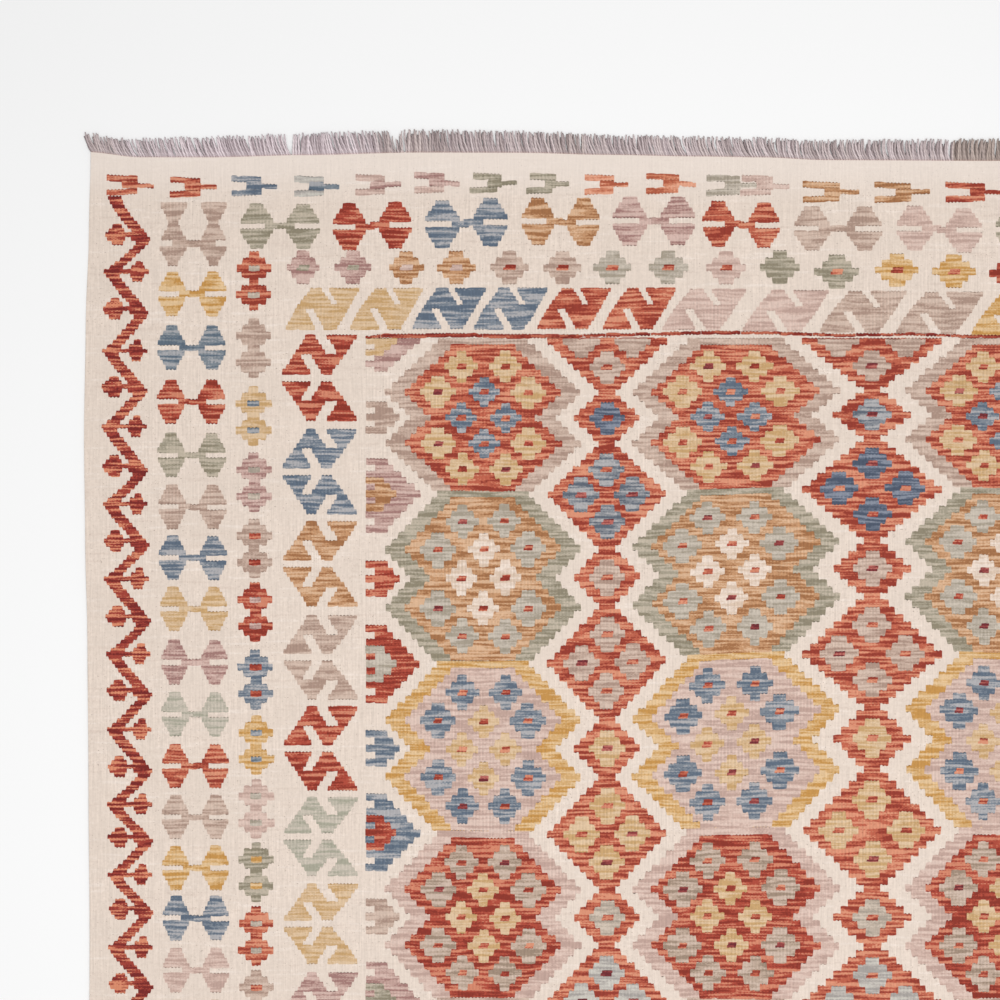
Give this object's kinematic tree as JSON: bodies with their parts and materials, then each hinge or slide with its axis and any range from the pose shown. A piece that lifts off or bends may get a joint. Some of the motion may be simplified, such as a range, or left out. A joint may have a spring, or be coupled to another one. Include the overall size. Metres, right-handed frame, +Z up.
{
  "type": "kilim rug",
  "caption": "Flat-woven wool kilim rug lying flat, with rows of stepped hexagons and diamonds, four patterned borders and a short warp fringe at each end.",
  "frame": {"origin": "on the floor under the middle of the rug, fringe included", "axes": "+X across the rug, +Y along it towards the head end (the end that the picture shows), +Z up"},
  "size_m": [2.01, 3.0672, 0.003],
  "materials": {
    "wool_weave": "matt weft-faced wool with stepped motifs in madder, blue, sage, tan, gold and mauve",
    "fringe_yarn": "matt two-ply wool warp ends, lilac grey"
  },
  "bodies": {
    "root": {"rug_body": "wool_weave", "fringe_head_end": "fringe_yarn", "fringe_foot_end": "fringe_yarn"}
  },
  "joints": []
}
